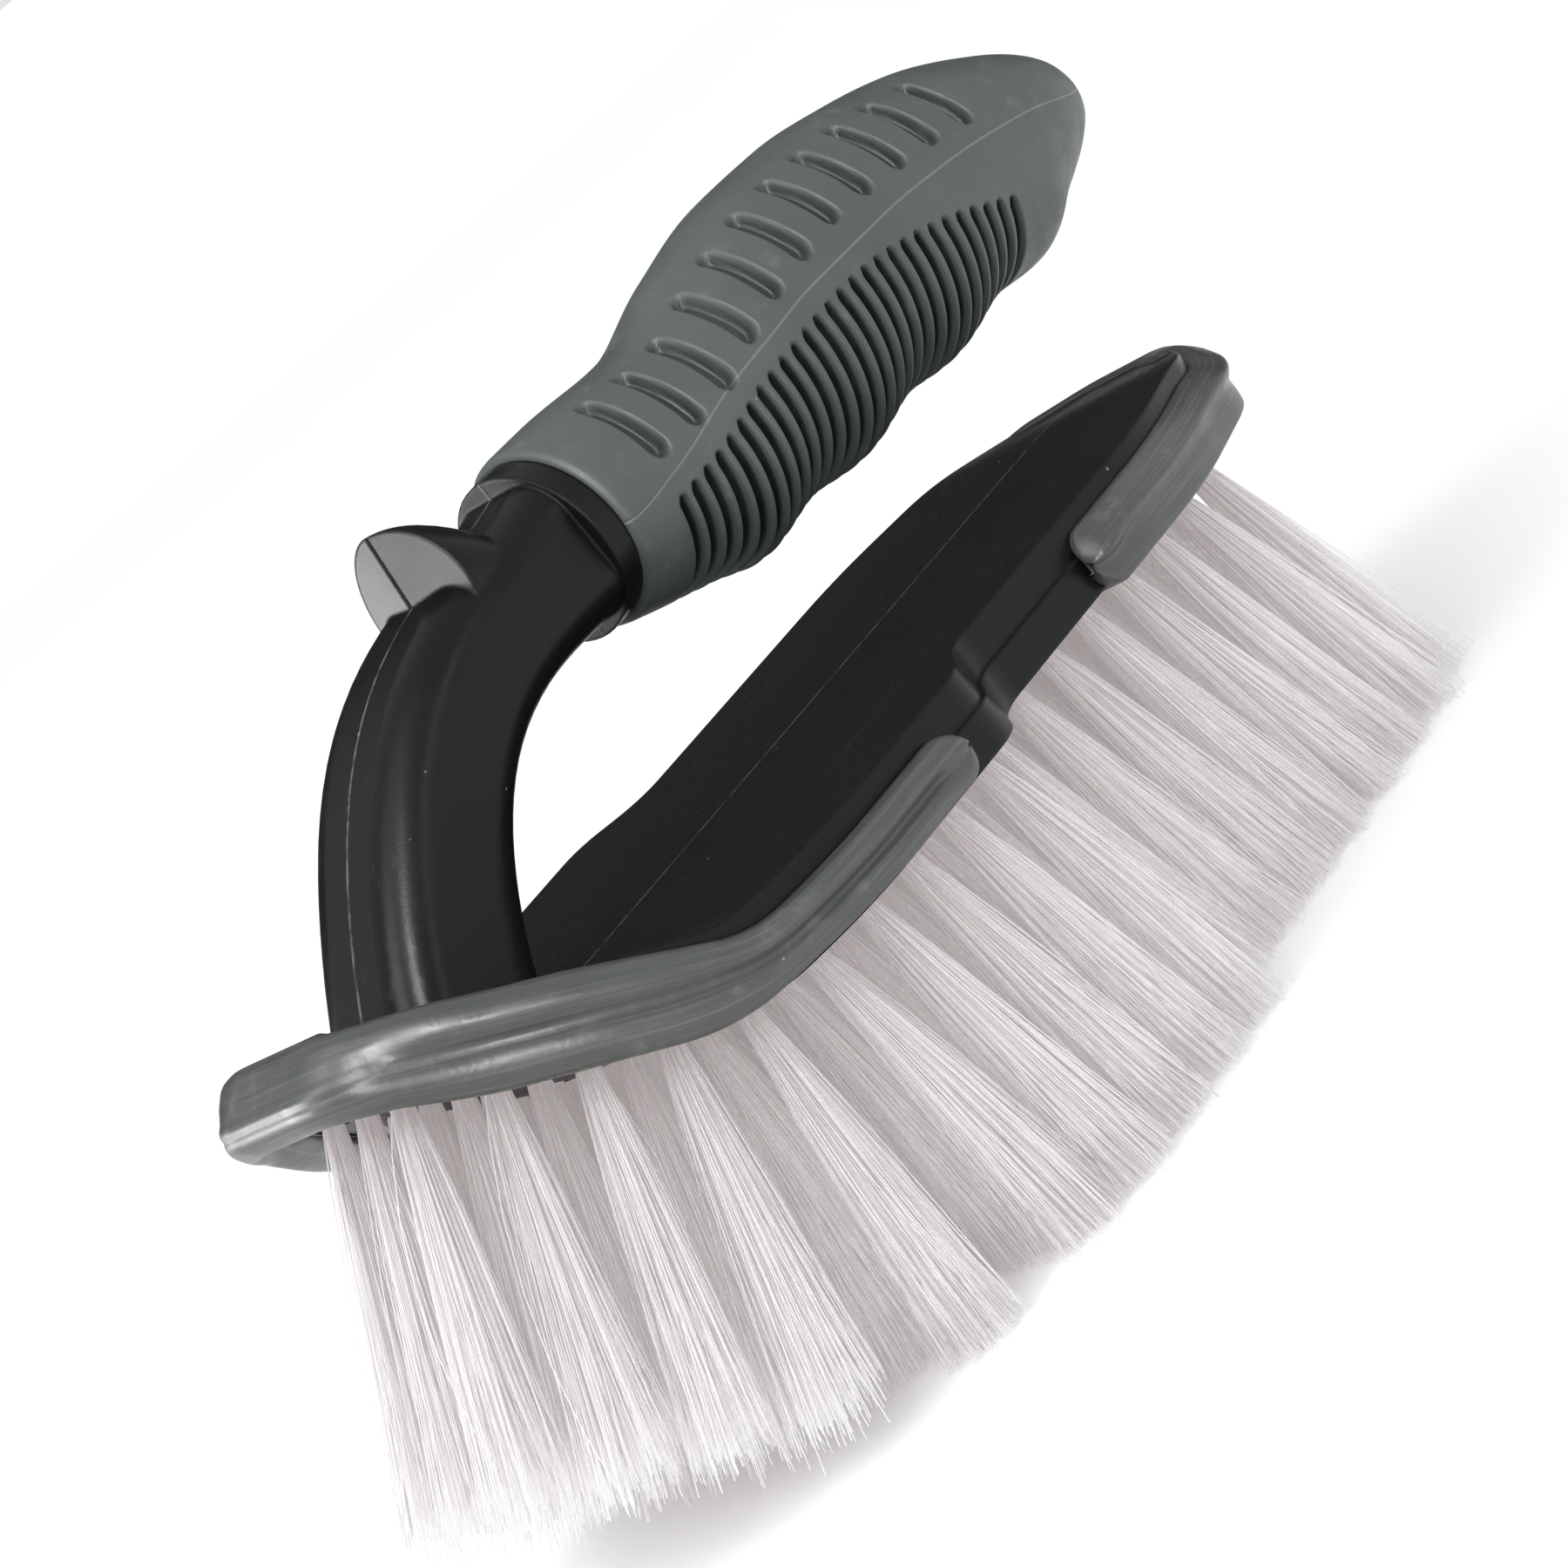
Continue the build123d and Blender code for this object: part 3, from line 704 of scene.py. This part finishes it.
def filament_mesh(name, lines, radius, tones, material):
    """Thin tubes round centre lines (count x steps x 3, mm), closed at the tips."""
    count, steps = lines.shape[:2]
    axis = lines[:, -1] - lines[:, 0]
    axis /= np.linalg.norm(axis, axis=1, keepdims=True)
    side = np.cross(axis, (0.31, 0.95, 0.05))
    side /= np.linalg.norm(side, axis=1, keepdims=True)
    other = np.cross(axis, side)
    corners = np.arange(FILAMENT_SIDES) * 2 * math.pi / FILAMENT_SIDES
    ring = side[:, None] * np.cos(corners)[None, :, None] + other[:, None] * np.sin(corners)[None, :, None]
    taper = np.linspace(1.0, 0.8, steps)[None, :, None, None]
    points = lines[:, :, None] + ring[:, None] * radius[:, None, None, None] * taper
    points = points.reshape(-1, 3)
    base = np.arange(count * steps).reshape(count, steps)
    faces = []
    for j in range(FILAMENT_SIDES):
        k = (j + 1) % FILAMENT_SIDES
        a = base[:, :-1] * FILAMENT_SIDES
        b = base[:, 1:] * FILAMENT_SIDES
        faces.append(np.stack([a + j, a + k, b + k, b + j], -1).reshape(-1, 4))
    quads = np.concatenate(faces).tolist()
    caps = (base[:, -1:] * FILAMENT_SIDES + np.arange(FILAMENT_SIDES)).tolist()
    along = np.repeat(np.tile(np.linspace(0, 1, steps), count), FILAMENT_SIDES)
    tone = np.repeat(tones, steps * FILAMENT_SIDES)
    points[:, 2] = np.maximum(points[:, 2], 0.02)
    return smooth_mesh(name, points * MM, quads + caps, material, [("along", along), ("tone", tone)])


def make_tufts(material):
    rows = sorted(n for n in NODES if n.startswith("tuft_row_"))
    for number, node in enumerate(rows, start=1):
        generator = np.random.default_rng(400 + number)
        lines = np.concatenate([tuft_filaments(generator, *pair) for pair in tuft_axes(node)])
        radius = generator.uniform(*FILAMENT_RADIUS, len(lines))
        tones = generator.uniform(0, 1, len(lines))
        piece = filament_mesh(f"bristles_{number:02d}", lines, radius, tones, material)
        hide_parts(node)


# ------------------------------------------------------------------ studio
LENS = 116.2
CAMERA_PLACE = (-0.3906, -0.4866, 0.1878)
CAMERA_RIGHT = (0.5105, -0.5883, -0.6271)
CAMERA_UP = (0.6016, -0.2768, 0.7493)
CAMERA_BACK = (-0.6144, -0.7598, 0.2126)


def area_light(name, position, target, size, power, gloss_only=False):
    data = bpy.data.lights.new(name, "AREA")
    data.shape = "RECTANGLE"
    data.size, data.size_y = size
    data.energy = power
    lamp = bpy.data.objects.new(name, data)
    bpy.context.scene.collection.objects.link(lamp)
    lamp.location = position
    lamp.rotation_euler = (Vector(target) - Vector(position)).to_track_quat("-Z", "Y").to_euler()
    lamp.visible_diffuse = not gloss_only


def black_flag():
    """A dark card behind the brush that only shows in reflections, so that the deck stays black."""
    look = Look("flag", (0.03, 0.03, 0.03), 0.9)
    look.color(look.mix(look.noise(4, 2), (0.02, 0.02, 0.02), (0.04, 0.04, 0.04)))
    bpy.ops.mesh.primitive_plane_add(size=1, location=(0.85, 1.05, 0.52))
    flag = bpy.context.object
    flag.name = "flag"
    flag.scale = (2.8, 1.2, 1)
    flag.rotation_euler = Vector((-0.61, -0.76, -0.2)).to_track_quat("Z", "Y").to_euler()
    flag.data.materials.append(look.material)
    flag.visible_camera = False
    flag.visible_diffuse = False
    flag.visible_shadow = False


def make_studio():
    scene = bpy.context.scene
    world = bpy.data.worlds.new("studio")
    world.use_nodes = True
    background = world.node_tree.nodes["Background"]
    background.inputs[0].default_value = (0.97, 0.98, 1.0, 1)
    background.inputs[1].default_value = 0.8
    scene.world = world
    data = bpy.data.lights.new("sun", "SUN")
    data.energy = 1.0
    data.angle = math.radians(50)
    sun = bpy.data.objects.new("sun", data)
    scene.collection.objects.link(sun)
    sun.rotation_euler = Vector((0.55, 0.3, -1)).to_track_quat("-Z", "Y").to_euler()
    area_light("key", (-0.62, 0.05, 0.55), (-0.03, 0, 0.08), (0.35, 0.5), 2.2)
    area_light("left", (-0.72, 0.50, 0.18), (-0.03, 0, 0.09), (0.6, 0.3), 9.0, True)
    area_light("strip", (-0.60, -0.74, 0.50), (-0.03, 0, 0.08), (0.07, 0.9), 15.0, True)
    area_light("far", (-0.30, 0.95, 0.12), (-0.02, 0, 0.105), (0.4, 0.3), 2.4, True)
    area_light("side", (0.25, -0.85, 0.30), (0, 0, 0.06), (0.4, 0.2), 0.7)

    data = bpy.data.cameras.new("camera")
    data.lens = LENS
    data.sensor_width = 36
    data.clip_start = 0.01
    camera = bpy.data.objects.new("camera", data)
    scene.collection.objects.link(camera)
    turn = Matrix((CAMERA_RIGHT, CAMERA_UP, CAMERA_BACK)).transposed()
    camera.matrix_world = Matrix.Translation(CAMERA_PLACE) @ turn.to_4x4()
    scene.camera = camera
    scene.view_settings.view_transform = "Standard"

    bpy.ops.mesh.primitive_plane_add(size=300, location=(0, 0, -0.0002))
    floor = bpy.context.object
    floor.name = "floor"
    floor.data.materials.append(floor_paint())
    black_flag()


# ------------------------------------------------------------------ the brush
def paint(node, material):
    slots = NODES[node].material_slots
    for index in range(len(slots)):
        slots[index].material = material


plastic = black_plastic()
rubber_look = bumper_rubber()
paint("body", plastic)
make_bumper(
    "nose_bumper", "nose_rubber", NOSE_PROFILE, lambda x: x < NOSE_RIM_END_X, nose_lines, rubber_look
)
make_bumper(
    "rear_bumper", "rear_rubber", REAR_PROFILE, lambda x: x > REAR_RIM_FRONT_X, rear_lines, rubber_look
)
paint("tuft_plate", black_plate())
paint("wire_anchors", steel())
make_grip(grip_rubber())
make_tufts(bristle())
make_studio()
